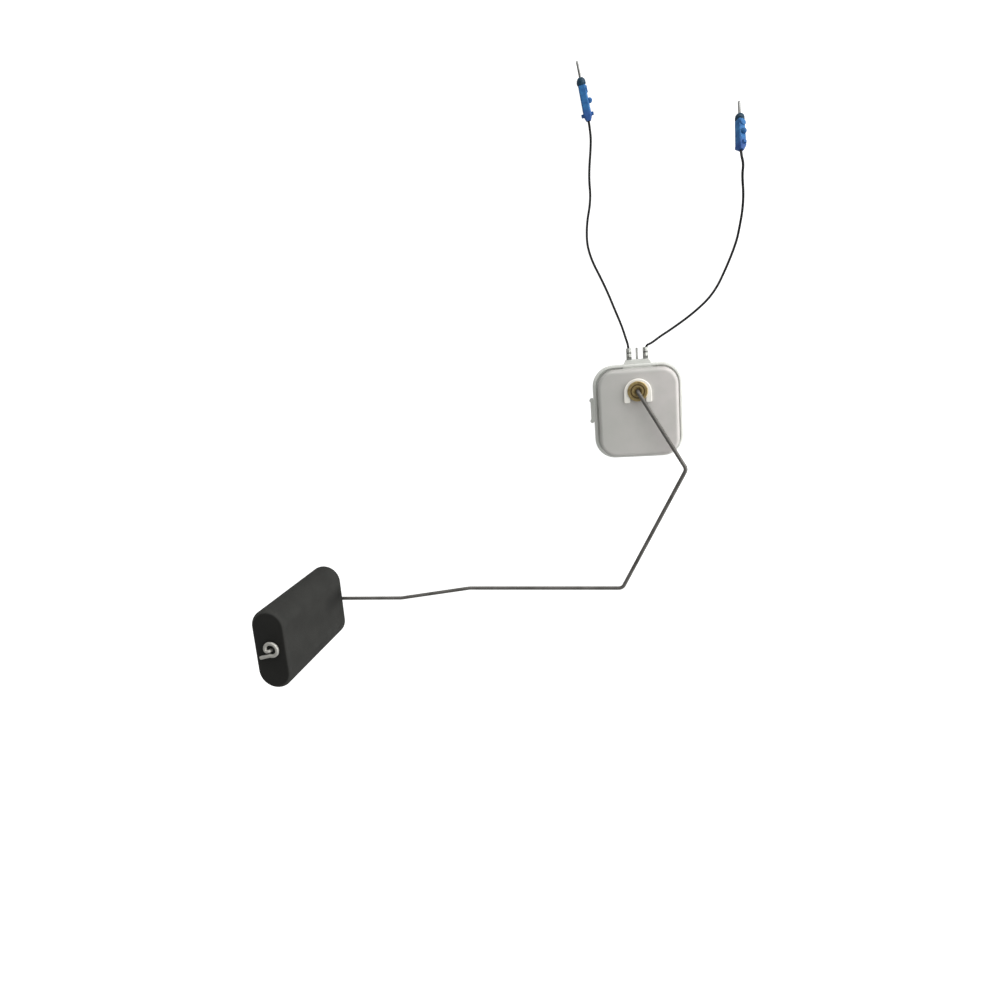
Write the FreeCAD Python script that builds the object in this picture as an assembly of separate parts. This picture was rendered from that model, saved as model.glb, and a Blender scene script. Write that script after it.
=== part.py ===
import FreeCAD, Part
import math
import os

Vector = FreeCAD.Vector

# Fuel level sender, lying on its back. Millimetres, +Z up.
# The origin is where the arm's pivot axis meets the flat back of the housing.
# +Z runs along the pivot axis out of the cover, +Y points at the terminals.

# Housing outline: a plate with a raised rim round the cover, wider on the lug's side,
# and a groove between the rim and the cover
BASE_HALF_WIDTH = 20.2
BASE_TOP = 11.85
BASE_CORNER_RADIUS = 9.6
LUG_SIDE_EXTRA = 1.0
ROOM_BELOW_ROTOR = 8.1
BASE_THICKNESS = 2.2
BASE_EDGE_ROUND = 0.6
RIM_WIDTH = 1.9
RIM_TOP = 3.5
GROOVE_WIDTH = 0.8
UPSTAND_HEIGHT = 2.8
UPSTAND_WALL = 1.1

# Cover: a shell with a soft front edge
COVER_FRONT = 12.0
COVER_WALL = 1.4
COVER_FRONT_WALL = 1.5
COVER_EDGE_ROUND = 1.7
COVER_FIT = 0.15

# Terminal boss on the top edge of the base, a trapezoid seen from the front
BOSS_BASE_LEFT = -6.6
BOSS_BASE_RIGHT = 7.1
BOSS_TOP_LEFT = -5.3
BOSS_TOP_RIGHT = 5.5
BOSS_REACH = 2.05
BOSS_HEIGHT = 3.2
BOSS_EDGE_ROUND = 0.35

# Guide lug on the left edge, with a bead at each end
LUG_LOW = -14.9
LUG_HIGH = -3.0
LUG_REACH = 2.0
LUG_BEAD_RADIUS = 1.0

# How far a cutting shape reaches past what it cuts
OVERCUT = 1.0

# Arm wire: bent from one length of spring steel wire.
# Each run between two bends has its length in plan and its heading from +X.
FRONT_RUN = 42.3
FRONT_ANGLE = -60.8
SLOPE_RUN = 71.3
SLOPE_ANGLE = -117.0
LONG_RUN = 80.7
LONG_ANGLE = 179.5
KINK_RUN = 39.8
KINK_ANGLE = 187.9
FLOAT_RUN = 42.4
FLOAT_ANGLE = 180.0
WIRE_DIAMETER = 1.8
WIRE_OVER_BUSH = 0.5
SHAFT_BEND_RADIUS = 2.4
ELBOW_RADIUS = 3.0
KINK_RADIUS = 12.0
FLOAT_ELBOW_RADIUS = 1.8
HOOK_ELBOW_RADIUS = 1.1

# Closing curl of the wire on the float, as offsets from the float's axis
CURL_CORNERS = [(-2.25, -0.2), (-2.15, 3.9), (3.95, 3.85), (3.95, -2.5), (-0.2, -2.25), (-5.3, -3.45)]
CURL_RADII = [1.0, 2.8, 3.0, 2.8, 2.0]
CURL_GAP = 0.25

# Float: a foam block of stadium section, standing on the wire
FLOAT_HEIGHT = 64.0
FLOAT_LENGTH = 40.0
FLOAT_WIDTH = 17.5
FLOAT_LEAN_ANGLE = -0.9
FLOAT_EDGE_ROUND = 1.9
FLOAT_END_FLAT = 0.002
FLOAT_LIFT = 0.3
FLOAT_BORE_FIT = 0.08
FLOAT_MOUTH_RADIUS = 2.1
FLOAT_MOUTH_DEPTH = 1.2

# Pivot bush and its snap clip
BUSH_RADIUS = 4.6
BUSH_STAND = 1.7
BUSH_FLANGE_RADIUS = 5.6
BUSH_FLANGE_THICKNESS = 0.8
BUSH_BORE_FIT = 0.06
BUSH_HOLE_FIT = 0.04
BUSH_RECESS_RADIUS = 2.15
BUSH_RECESS_DEPTH = 1.1
BUSH_RING_RADIUS = 3.0
BUSH_RING_WIDTH = 0.4
BUSH_RING_DEPTH = 0.35
CLIP_OUTER_RADIUS = 6.25
CLIP_DROP = 0.6
CLIP_LEG_REACH = 4.6
CLIP_MOUTH_HALF_WIDTH = 3.6
CLIP_LEG_ROUND = 0.8
CLIP_THICKNESS = 1.0
CLIP_BITE = 0.25
CLIP_FIT = 0.05
CLIP_EDGE = 0.2

# Rotor: hub, lower journal and wiper carrier, which ends past the outer track
ROTOR_HUB_RADIUS = 4.0
ROTOR_TOP = 9.0
ROTOR_HUB_LIFT = 0.2
ROTOR_JOURNAL_RADIUS = 2.2
ROTOR_JOURNAL_FIT = 0.08
ROTOR_OVERHANG = 2.0
ROTOR_TIP_HALF_WIDTH = 1.9
ROTOR_ARM_LOW = 5.4
ROTOR_ARM_THICKNESS = 1.8
ROTOR_RIB_WIDTH = 1.2
ROTOR_RIB_HEIGHT = 1.2
SHAFT_PRESS = 0.02
SHAFT_FOOT = 2.6
WASHER_RADIUS = 3.2
WASHER_THICKNESS = 0.4
WASHER_FIT = 0.1

# Swing of the arm, in degrees from the rest pose
REST_ANGLE = -63.0
SWING_DOWN_ANGLE = 18.0
SWING_UP_ANGLE = -72.0
STOP_RADIUS = 1.5
STOP_DISTANCE = 12.0
STOP_GAP = 0.3
STOP_LOW = 5.6

# Card with its printed tracks, held inside the cover's locating wall
CARD_ROOM = 0.45
CARD_BELOW_ROTOR = 3.0
CARD_THICKNESS = 0.8
CARD_CORNER_RADIUS = 3.0
CARD_FIT = 0.15
CARD_HOLE_FIT = 0.4
SOCKET_WALL = 1.6
SOCKET_HEIGHT = 1.8
SOCKET_FLOOR = 0.8
STAKE_RADIUS = 1.0
STAKE_SIDE_INSET = 3.7
STAKE_END_INSET = 3.1
STAKE_HEAD_RADIUS = 1.7
STAKE_HEAD_HEIGHT = 0.5
STAKE_FIT = 0.1
TRACK_THICKNESS = 0.1
TRACK_HALF_ANGLE = 47.0
TRACK_MARGIN = 0.63
TRACK_PITCH = 3.3
RESISTOR_WIDTH = 2.2
COLLECTOR_WIDTH = 1.6
TRACE_WIDTH = 1.0
PAD_LENGTH = 2.1

# Wiper spring and its two contact studs
SPRING_THICKNESS = 0.2
SPRING_HUB_GAP = 0.5
FINGER_LENGTH = 4.7
SPRING_HALF_WIDTH = 1.9
FINGER_WIDTH = 0.9
FINGER_OFFSET = 1.1
FINGER_DROP = 2.4
FINGER_TOE = 0.5
STUD_RADIUS = 0.35
STUD_GAP = 0.08
PIP_RADIUS = 0.45
PIP_FIT = 0.03
PIP_HEAD_RADIUS = 0.7
PIP_HEAD_HEIGHT = 0.25

# Terminals: two with crimps and a bare one between them
TERMINAL_LEFT_X = -3.55
TERMINAL_MIDDLE_X = 0.05
TERMINAL_RIGHT_X = 4.0
TERMINAL_WIDTH = 2.4
MIDDLE_WIDTH = 1.0
TERMINAL_THICKNESS = 0.4
TERMINAL_SLOT_FIT = 0.03
TERMINAL_REACH = 5.3
CRIMP_SEAM = 0.12
WING_LEAN_ANGLE = 30.0
WING_LENGTH = 1.9
STRAND_WING_LENGTH = 1.5
CRIMP_SPACE = 0.5
CRIMP_BITE = 0.02

# Leads
LEAD_DIAMETER = 1.05
LEAD_LEFT = [
    (-3.55, 15.4, 3.205),
    (-3.5, 19.8, 3.2),
    (-4.66, 23.85, 2.55),
    (-6.33, 29.67, 1.1),
    (-8.84, 36.33, 0.62),
    (-13.09, 48.05, 0.56),
    (-20.22, 63.52, 0.58),
    (-20.27, 75.11, 0.56),
    (-17.5, 86.2, 0.57),
    (-18.0, 95.95, 0.56),
    (-16.2, 109.16, 0.75),
    (-16.2, 114.0, 1.6),
    (-16.8, 119.43, 1.95),
]
LEAD_RIGHT = [
    (4.0, 15.4, 3.205),
    (4.0, 19.9, 3.2),
    (6.93, 20.73, 2.75),
    (10.78, 23.36, 1.5),
    (15.88, 26.11, 0.66),
    (26.08, 32.49, 0.56),
    (35.27, 40.35, 0.58),
    (41.42, 52.56, 0.57),
    (45.08, 61.67, 0.56),
    (46.16, 66.9, 1.2),
    (47.21, 73.2, 3.2),
    (47.1, 79.6, 8.4),
    (45.95, 86.2, 13.2),
    (46.4, 90.3, 14.4),
    (45.63, 94.17, 12.96),
    (45.74, 97.24, 11.29),
]

# Lead connectors: body, seal collar and contact pin
CONNECTOR_BODY_LENGTH = 14.3
CONNECTOR_REAR_SIZE = 3.6
CONNECTOR_NOSE_SIZE = 3.2
CONNECTOR_TAPER_LENGTH = 2.0
CONNECTOR_TAIL_SIZE = 2.0
CONNECTOR_EDGE = 0.8
EAR_PLACE = 1.9
EAR_LENGTH = 1.2
EAR_WIDTH = 1.4
EAR_REACH = 0.9
LATCH_PLACE = 7.9
LATCH_RADIUS = 1.2
LATCH_RISE = 0.4
NOSE_PAD_PLACE = 12.7
NOSE_PAD_RADIUS = 1.5
NOSE_PAD_RISE = 0.45
NOSE_PAD_EDGE = 0.25
COLLAR_LENGTH = 3.3
COLLAR_RADIUS = 1.95
COLLAR_NECK = 1.4
COLLAR_RAMP = 0.8
COLLAR_LIP_RADIUS = 1.75
COLLAR_MOUTH_RADIUS = 1.1
PIN_RADIUS = 0.5
PIN_LENGTH = 6.9
PIN_SHANK_RADIUS = 0.7
PIN_SHANK_LENGTH = 5.0
PIN_TIP_LENGTH = 0.7
PIN_TIP_RADIUS = 0.25
LEAD_SOCKET_DEPTH = 1.4
LEFT_CONNECTOR_TAIL = (-16.6, 118.15)
LEFT_CONNECTOR_HEADING = 99.0
LEFT_CONNECTOR_ROLL = 90.0
RIGHT_CONNECTOR_TAIL = (45.7, 96.1)
RIGHT_CONNECTOR_HEADING = 88.0
RIGHT_CONNECTOR_ROLL = 35.0
RIGHT_CONNECTOR_TILT = 28.5

# Places that follow from the sizes above
WIRE_RADIUS = WIRE_DIAMETER / 2
LEAD_RADIUS = LEAD_DIAMETER / 2
COVER_HALF_WIDTH = BASE_HALF_WIDTH - RIM_WIDTH
COVER_TOP = BASE_TOP - RIM_WIDTH
COVER_CORNER_RADIUS = BASE_CORNER_RADIUS - RIM_WIDTH
UPSTAND_OUTSET = COVER_WALL + COVER_FIT
CARD_INSET = UPSTAND_OUTSET + UPSTAND_WALL + CARD_ROOM
CARD_HALF_WIDTH = COVER_HALF_WIDTH - CARD_INSET
CARD_TOP = COVER_TOP - CARD_INSET
TRACK_OUTER = (CARD_HALF_WIDTH - TRACK_MARGIN) / math.sin(math.radians(TRACK_HALF_ANGLE))
RESISTOR_RADIUS = TRACK_OUTER - RESISTOR_WIDTH / 2
COLLECTOR_RADIUS = RESISTOR_RADIUS - TRACK_PITCH
ROTOR_REACH = RESISTOR_RADIUS + ROTOR_OVERHANG
CARD_BOTTOM = -ROTOR_REACH - CARD_BELOW_ROTOR
COVER_BOTTOM = -ROTOR_REACH - ROOM_BELOW_ROTOR - COVER_WALL
BASE_BOTTOM = COVER_BOTTOM - RIM_WIDTH
STAKE_X = CARD_HALF_WIDTH - STAKE_SIDE_INSET
STAKE_Y = CARD_BOTTOM + STAKE_END_INSET
PAD_LOW = CARD_TOP - PAD_LENGTH
COVER_CEILING = COVER_FRONT - COVER_FRONT_WALL
CARD_TOP_Z = BASE_THICKNESS
CARD_FLOOR_Z = CARD_TOP_Z - CARD_THICKNESS
TRACK_TOP_Z = CARD_TOP_Z + TRACK_THICKNESS
SOCKET_BORE = ROTOR_JOURNAL_RADIUS + ROTOR_JOURNAL_FIT
SOCKET_RADIUS = SOCKET_BORE + SOCKET_WALL
SOCKET_TOP = CARD_FLOOR_Z + SOCKET_HEIGHT
HUB_LOW = SOCKET_TOP + ROTOR_HUB_LIFT
BUSH_TOP = COVER_FRONT + BUSH_STAND
ARM_FRONT_Z = BUSH_TOP + WIRE_OVER_BUSH + WIRE_RADIUS
FLOAT_LOW = WIRE_DIAMETER + FLOAT_LIFT
FLOAT_TOP = FLOAT_LOW + FLOAT_HEIGHT
CURL_Z = FLOAT_TOP + CURL_GAP + WIRE_RADIUS
SPRING_TOP = ROTOR_ARM_LOW
FINGER_LOW = SPRING_TOP - FINGER_DROP
SPRING_START = ROTOR_HUB_RADIUS + SPRING_HUB_GAP
SPRING_PLATE_END = COLLECTOR_RADIUS - FINGER_LENGTH
PIP_PLACE = (SPRING_START + SPRING_PLATE_END) / 2
TERMINAL_LOW = TRACK_TOP_Z
BOSS_TOP_Y = BASE_TOP + BOSS_REACH
TERMINAL_TIP = BOSS_TOP_Y + TERMINAL_REACH
CRIMP_HOLD = LEAD_RADIUS - CRIMP_BITE
CRIMP_RADIUS = CRIMP_HOLD + TERMINAL_THICKNESS
CRIMP_AXIS_Z = TERMINAL_LOW + CRIMP_RADIUS


def rounded_rect(half_width, low, high, radius, z):
    """A face with rounded corners, centred on the line x = 0."""
    left, right = -half_width, half_width
    bend = radius * (1 - math.sqrt(0.5))
    corners = [(left, low, 1, 1), (right, low, -1, 1), (right, high, -1, -1), (left, high, 1, -1)]
    joints = []
    for x, y, sx, sy in corners:
        along_x = Vector(x + sx * radius, y, z)
        along_y = Vector(x, y + sy * radius, z)
        middle = Vector(x + sx * bend, y + sy * bend, z)
        joints.append((along_x, middle, along_y))
    order = [joints[0][::-1], joints[1], joints[2][::-1], joints[3]]
    edges = []
    for i, (start, middle, end) in enumerate(order):
        edges.append(Part.Arc(start, middle, end).toShape())
        edges.append(Part.LineSegment(end, order[(i + 1) % 4][0]).toShape())
    return Part.Face(Part.Wire(edges))


def slab(half_width, low, high, radius, z, height):
    return rounded_rect(half_width, low, high, radius, z).extrude(Vector(0, 0, height))


def cylinder(radius, low, high, x=0.0, y=0.0):
    return Part.makeCylinder(radius, high - low, Vector(x, y, low))


def block(x0, x1, y0, y1, z0, z1):
    return Part.makeBox(x1 - x0, y1 - y0, z1 - z0, Vector(x0, y0, z0))


def polygon(points):
    """A face from a closed list of points."""
    corners = [Vector(*p) for p in points]
    return Part.Face(Part.makePolygon(corners + corners[:1]))


def turned(profile):
    """A solid of revolution about the Z axis from (radius, z) points."""
    face = polygon([(r, 0, z) for r, z in profile])
    return face.revolve(Vector(0, 0, 0), Vector(0, 0, 1), 360)


def spun(shape, degrees):
    """The shape turned about the pivot axis."""
    copy = shape.copy()
    copy.rotate(Vector(0, 0, 0), Vector(0, 0, 1), degrees)
    return copy


def fused(*shapes):
    return shapes[0].fuse(list(shapes[1:])).removeSplitter()


def round_edges(shape, radius, wanted):
    edges = [e for e in shape.Edges if wanted(e)]
    return shape.makeFillet(radius, edges)


def level(edge, z):
    """True for an edge that lies all in the plane at height z."""
    box = edge.BoundBox
    return abs(box.ZMin - z) < 1e-6 and abs(box.ZMax - z) < 1e-6


def half_turn(a, b, c):
    """Half the angle by which a path turns at b."""
    return (b - a).getAngle(c - b) / 2


def cord_radii(points):
    """The largest arcs that the runs of a cord allow."""
    radii = []
    for a, b, c in zip(points, points[1:], points[2:]):
        shorter = min((b - a).Length, (c - b).Length)
        radii.append(0.45 * shorter / math.tan(half_turn(a, b, c)))
    return radii


def bent_path(points, radii):
    """Straight runs through the points, joined by tangent arcs."""
    edges = []
    start = points[0]
    for a, b, c, radius in zip(points, points[1:], points[2:], radii):
        half = half_turn(a, b, c)
        trim = radius * math.tan(half)
        inward = (a - b).normalize()
        outward = (c - b).normalize()
        arc_start = b + inward * trim
        arc_end = b + outward * trim
        middle = b + (inward + outward).normalize() * (radius / math.cos(half) - radius)
        edges.append(Part.LineSegment(start, arc_start).toShape())
        edges.append(Part.Arc(arc_start, middle, arc_end).toShape())
        start = arc_end
    edges.append(Part.LineSegment(start, points[-1]).toShape())
    return Part.Wire(edges)


def wire_along(path, radius):
    """A round wire swept along a path."""
    first = path.Edges[0]
    start = first.valueAt(first.FirstParameter)
    section = Part.Wire([Part.makeCircle(radius, start, first.tangentAt(first.FirstParameter))])
    return path.makePipeShell([section], True, False)


def ring_sector(radius, width, centre, half_angle, z, height):
    """A flat arc band about the pivot axis."""
    outer = Part.makeCylinder(radius + width / 2, height, Vector(0, 0, z), Vector(0, 0, 1), 2 * half_angle)
    inner = cylinder(radius - width / 2, z - OVERCUT, z + height + OVERCUT)
    return spun(outer.cut(inner), centre - half_angle)


def housing_base():
    base = fused(rimmed_plate(), upstand(), terminal_boss(), guide_lug())
    base = base.cut(card_pocket())
    base = fused(base, pivot_socket(), *card_stakes())
    base = base.cut(cylinder(SOCKET_BORE, SOCKET_FLOOR, SOCKET_TOP + OVERCUT))
    return base.cut(Part.makeCompound(terminal_slots()))


def rimmed_plate():
    """The plate with its raised rim, set back from the cover by the groove."""
    plate = slab(BASE_HALF_WIDTH + LUG_SIDE_EXTRA / 2, BASE_BOTTOM, BASE_TOP, BASE_CORNER_RADIUS, 0, RIM_TOP)
    plate.translate(Vector(-LUG_SIDE_EXTRA / 2, 0, 0))
    plate = round_edges(plate, BASE_EDGE_ROUND, lambda e: level(e, RIM_TOP))
    widening = LUG_SIDE_EXTRA / 4
    well = slab(COVER_HALF_WIDTH + GROOVE_WIDTH + widening, COVER_BOTTOM - GROOVE_WIDTH,
                COVER_TOP + GROOVE_WIDTH, COVER_CORNER_RADIUS + GROOVE_WIDTH, BASE_THICKNESS, RIM_TOP)
    well.translate(Vector(-widening, 0, 0))
    return plate.cut(well)


def upstand():
    """The wall that locates the cover from inside."""
    top = BASE_THICKNESS + UPSTAND_HEIGHT
    out = UPSTAND_OUTSET
    inn = out + UPSTAND_WALL
    walls = []
    for inset in (out, inn):
        walls.append(slab(COVER_HALF_WIDTH - inset, COVER_BOTTOM + inset, COVER_TOP - inset,
                          COVER_CORNER_RADIUS - inset / 2, 0, top))
    return walls[0].cut(walls[1])


def terminal_boss():
    inner = COVER_TOP - UPSTAND_OUTSET - UPSTAND_WALL
    outline = [
        (BOSS_BASE_LEFT, inner, 0),
        (BOSS_BASE_LEFT, BASE_TOP - BASE_EDGE_ROUND, 0),
        (BOSS_TOP_LEFT, BOSS_TOP_Y, 0),
        (BOSS_TOP_RIGHT, BOSS_TOP_Y, 0),
        (BOSS_BASE_RIGHT, BASE_TOP - BASE_EDGE_ROUND, 0),
        (BOSS_BASE_RIGHT, inner, 0),
    ]
    boss = polygon(outline).extrude(Vector(0, 0, BOSS_HEIGHT))
    outer_y = COVER_TOP + BOSS_EDGE_ROUND
    return round_edges(boss, BOSS_EDGE_ROUND,
                       lambda e: level(e, BOSS_HEIGHT) and e.BoundBox.YMin > outer_y)


def guide_lug():
    edge = -BASE_HALF_WIDTH - LUG_SIDE_EXTRA
    reach = LUG_REACH - LUG_BEAD_RADIUS / 2
    body = block(edge - reach, edge + LUG_SIDE_EXTRA, LUG_LOW + LUG_BEAD_RADIUS, LUG_HIGH - LUG_BEAD_RADIUS,
                 0, BASE_THICKNESS)
    x = edge - LUG_REACH + LUG_BEAD_RADIUS
    beads = [cylinder(LUG_BEAD_RADIUS, 0, BASE_THICKNESS, x, y)
             for y in (LUG_LOW + LUG_BEAD_RADIUS, LUG_HIGH - LUG_BEAD_RADIUS)]
    return fused(body, *beads)


def card_pocket():
    return slab(CARD_HALF_WIDTH + CARD_FIT, CARD_BOTTOM - CARD_FIT, CARD_TOP + CARD_FIT,
                CARD_CORNER_RADIUS + CARD_FIT, CARD_FLOOR_Z, UPSTAND_HEIGHT + BASE_THICKNESS)


def pivot_socket():
    """The post that carries the rotor's lower journal."""
    return cylinder(SOCKET_RADIUS, 0, SOCKET_TOP)


def card_stakes():
    """Two posts through the card, with heads formed over it."""
    stakes = []
    for side in (-1, 1):
        x, y = side * STAKE_X, STAKE_Y
        stem = cylinder(STAKE_RADIUS, 0, CARD_TOP_Z, x, y)
        head = Part.makeCone(STAKE_HEAD_RADIUS, STAKE_RADIUS, STAKE_HEAD_HEIGHT, Vector(x, y, CARD_TOP_Z))
        stakes.append(fused(stem, head))
    return stakes


def terminal_slots():
    slots = []
    for x, width in terminal_rows():
        half = width / 2 + TERMINAL_SLOT_FIT
        slots.append(block(x - half, x + half, CARD_TOP - OVERCUT, BOSS_TOP_Y + OVERCUT,
                           TERMINAL_LOW - TERMINAL_SLOT_FIT,
                           TERMINAL_LOW + TERMINAL_THICKNESS + TERMINAL_SLOT_FIT))
    return slots


def terminal_rows():
    return [(TERMINAL_LEFT_X, TERMINAL_WIDTH), (TERMINAL_MIDDLE_X, MIDDLE_WIDTH),
            (TERMINAL_RIGHT_X, TERMINAL_WIDTH)]


def housing_cover():
    shell = slab(COVER_HALF_WIDTH, COVER_BOTTOM, COVER_TOP, COVER_CORNER_RADIUS,
                 BASE_THICKNESS, COVER_FRONT - BASE_THICKNESS)
    shell = round_edges(shell, COVER_EDGE_ROUND, lambda e: level(e, COVER_FRONT))
    hollow = slab(COVER_HALF_WIDTH - COVER_WALL, COVER_BOTTOM + COVER_WALL, COVER_TOP - COVER_WALL,
                  COVER_CORNER_RADIUS - COVER_WALL / 2, BASE_THICKNESS - OVERCUT,
                  COVER_CEILING - BASE_THICKNESS + OVERCUT)
    shell = shell.cut(hollow)
    bush_hole = cylinder(BUSH_RADIUS + BUSH_HOLE_FIT, COVER_CEILING - OVERCUT, COVER_FRONT + OVERCUT)
    shell = shell.cut(bush_hole)
    notch = block(BOSS_BASE_LEFT - COVER_FIT, BOSS_BASE_RIGHT + COVER_FIT, COVER_TOP - 2 * COVER_WALL,
                  COVER_TOP + OVERCUT, BASE_THICKNESS - OVERCUT, BOSS_HEIGHT + COVER_FIT)
    return fused(shell.cut(notch), *swing_stops())


def swing_stops():
    """Two posts under the cover that end the rotor's travel."""
    slope = math.atan((ROTOR_HUB_RADIUS - ROTOR_TIP_HALF_WIDTH) / ROTOR_REACH)
    aside = ROTOR_HUB_RADIUS * math.cos(slope) + STOP_RADIUS + STOP_GAP
    clear = math.degrees(math.asin(aside / STOP_DISTANCE) - slope)
    posts = []
    for angle in (REST_ANGLE + SWING_DOWN_ANGLE + clear, REST_ANGLE + SWING_UP_ANGLE - clear):
        x = STOP_DISTANCE * math.cos(math.radians(angle))
        y = STOP_DISTANCE * math.sin(math.radians(angle))
        posts.append(cylinder(STOP_RADIUS, STOP_LOW, COVER_CEILING, x, y))
    return posts


def pivot_bush():
    bore = WIRE_RADIUS + BUSH_BORE_FIT
    low = COVER_CEILING - BUSH_FLANGE_THICKNESS
    groove = BUSH_RADIUS - CLIP_BITE
    groove_top = COVER_FRONT + CLIP_THICKNESS + CLIP_FIT
    floor = BUSH_TOP - BUSH_RECESS_DEPTH
    ring_in = BUSH_RING_RADIUS - BUSH_RING_WIDTH / 2
    ring_out = BUSH_RING_RADIUS + BUSH_RING_WIDTH / 2
    ring_floor = BUSH_TOP - BUSH_RING_DEPTH
    edge = CLIP_BITE
    return turned([
        (bore, low),
        (BUSH_FLANGE_RADIUS, low),
        (BUSH_FLANGE_RADIUS, COVER_CEILING),
        (BUSH_RADIUS, COVER_CEILING),
        (BUSH_RADIUS, COVER_FRONT),
        (groove, COVER_FRONT),
        (groove, groove_top),
        (BUSH_RADIUS, groove_top),
        (BUSH_RADIUS, BUSH_TOP - edge),
        (BUSH_RADIUS - edge, BUSH_TOP),
        (ring_out, BUSH_TOP),
        (ring_out, ring_floor),
        (ring_in, ring_floor),
        (ring_in, BUSH_TOP),
        (BUSH_RECESS_RADIUS, BUSH_TOP),
        (bore, floor),
    ])


def bush_clip():
    """A horseshoe clip in the bush's groove, its mouth towards -Y."""
    radius = CLIP_OUTER_RADIUS
    centre = -CLIP_DROP
    end = centre - CLIP_LEG_REACH
    left, right = Vector(-radius, centre, COVER_FRONT), Vector(radius, centre, COVER_FRONT)
    left_foot, right_foot = Vector(-radius, end, COVER_FRONT), Vector(radius, end, COVER_FRONT)
    outline = [
        Part.Arc(right, Vector(0, centre + radius, COVER_FRONT), left).toShape(),
        Part.LineSegment(left, left_foot).toShape(),
        Part.LineSegment(left_foot, right_foot).toShape(),
        Part.LineSegment(right_foot, right).toShape(),
    ]
    plate = Part.Face(Part.Wire(outline)).extrude(Vector(0, 0, CLIP_THICKNESS))
    top = COVER_FRONT + CLIP_THICKNESS
    grip = cylinder(BUSH_RADIUS - CLIP_BITE + CLIP_FIT, COVER_FRONT - OVERCUT, top + OVERCUT)
    mouth = block(-CLIP_MOUTH_HALF_WIDTH, CLIP_MOUTH_HALF_WIDTH, end - OVERCUT, 0,
                  COVER_FRONT - OVERCUT, top + OVERCUT)
    clip = plate.cut(grip).cut(mouth)
    clip = round_edges(clip, CLIP_LEG_ROUND,
                       lambda e: e.BoundBox.YMax < end + OVERCUT / 2 and e.BoundBox.YLength < OVERCUT / 2
                       and e.BoundBox.ZLength > CLIP_THICKNESS / 2)
    return clip.makeChamfer(CLIP_EDGE, [e for e in clip.Edges if level(e, top)])


def thrust_washer():
    disc = cylinder(WASHER_RADIUS, ROTOR_TOP, ROTOR_TOP + WASHER_THICKNESS)
    return disc.cut(cylinder(WIRE_RADIUS + WASHER_FIT, ROTOR_TOP - OVERCUT, ROTOR_TOP + OVERCUT))


def rotor():
    hub = cylinder(ROTOR_HUB_RADIUS, HUB_LOW, ROTOR_TOP)
    journal = cylinder(ROTOR_JOURNAL_RADIUS, SOCKET_FLOOR + ROTOR_HUB_LIFT, HUB_LOW)
    outline = [
        (0, -ROTOR_HUB_RADIUS, ROTOR_ARM_LOW),
        (ROTOR_REACH, -ROTOR_TIP_HALF_WIDTH, ROTOR_ARM_LOW),
        (ROTOR_REACH, ROTOR_TIP_HALF_WIDTH, ROTOR_ARM_LOW),
        (0, ROTOR_HUB_RADIUS, ROTOR_ARM_LOW),
    ]
    carrier = polygon(outline).extrude(Vector(0, 0, ROTOR_ARM_THICKNESS))
    rib_low = ROTOR_ARM_LOW + ROTOR_ARM_THICKNESS
    rib = block(0, ROTOR_REACH - ROTOR_TIP_HALF_WIDTH, -ROTOR_RIB_WIDTH / 2, ROTOR_RIB_WIDTH / 2,
                rib_low, rib_low + ROTOR_RIB_HEIGHT)
    pip = cylinder(PIP_RADIUS, SPRING_TOP - SPRING_THICKNESS, SPRING_TOP, PIP_PLACE, 0)
    head = cylinder(PIP_HEAD_RADIUS, SPRING_TOP - SPRING_THICKNESS - PIP_HEAD_HEIGHT,
                    SPRING_TOP - SPRING_THICKNESS, PIP_PLACE, 0)
    body = fused(hub, journal, carrier, rib, pip, head)
    body = body.cut(cylinder(WIRE_RADIUS - SHAFT_PRESS, SHAFT_FOOT, ROTOR_TOP + OVERCUT))
    return spun(body, REST_ANGLE)


def finger(radius, offset):
    """A sprung finger that slopes down to a track, with a flat toe."""
    top = SPRING_TOP
    thick = SPRING_THICKNESS
    low = FINGER_LOW
    side = offset - FINGER_WIDTH / 2
    profile = [
        (SPRING_PLATE_END - FINGER_WIDTH, side, top),
        (SPRING_PLATE_END - FINGER_WIDTH, side, top - thick),
        (SPRING_PLATE_END, side, top - thick),
        (radius - FINGER_TOE, side, low),
        (radius + FINGER_TOE, side, low),
        (radius + FINGER_TOE, side, low + thick),
        (radius - FINGER_TOE, side, low + thick),
        (SPRING_PLATE_END, side, top),
    ]
    return polygon(profile).extrude(Vector(0, FINGER_WIDTH, 0))


def wiper_spring():
    plate = block(SPRING_START, SPRING_PLATE_END, -SPRING_HALF_WIDTH, SPRING_HALF_WIDTH,
                  SPRING_TOP - SPRING_THICKNESS, SPRING_TOP)
    pip_hole = cylinder(PIP_RADIUS + PIP_FIT, SPRING_TOP - OVERCUT, SPRING_TOP + OVERCUT, PIP_PLACE, 0)
    plate = plate.cut(pip_hole)
    spring = fused(plate, finger(COLLECTOR_RADIUS, -FINGER_OFFSET), finger(RESISTOR_RADIUS, FINGER_OFFSET))
    return spun(spring, REST_ANGLE)


def contact_stud(radius, offset):
    """A round-nosed stud under a finger's toe."""
    nose = TRACK_TOP_Z + STUD_GAP
    barrel = cylinder(STUD_RADIUS, nose + STUD_RADIUS / 2, FINGER_LOW, radius, offset)
    tip = Part.makeCone(STUD_RADIUS / 2, STUD_RADIUS, STUD_RADIUS / 2, Vector(radius, offset, nose))
    return spun(fused(barrel, tip), REST_ANGLE)


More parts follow.
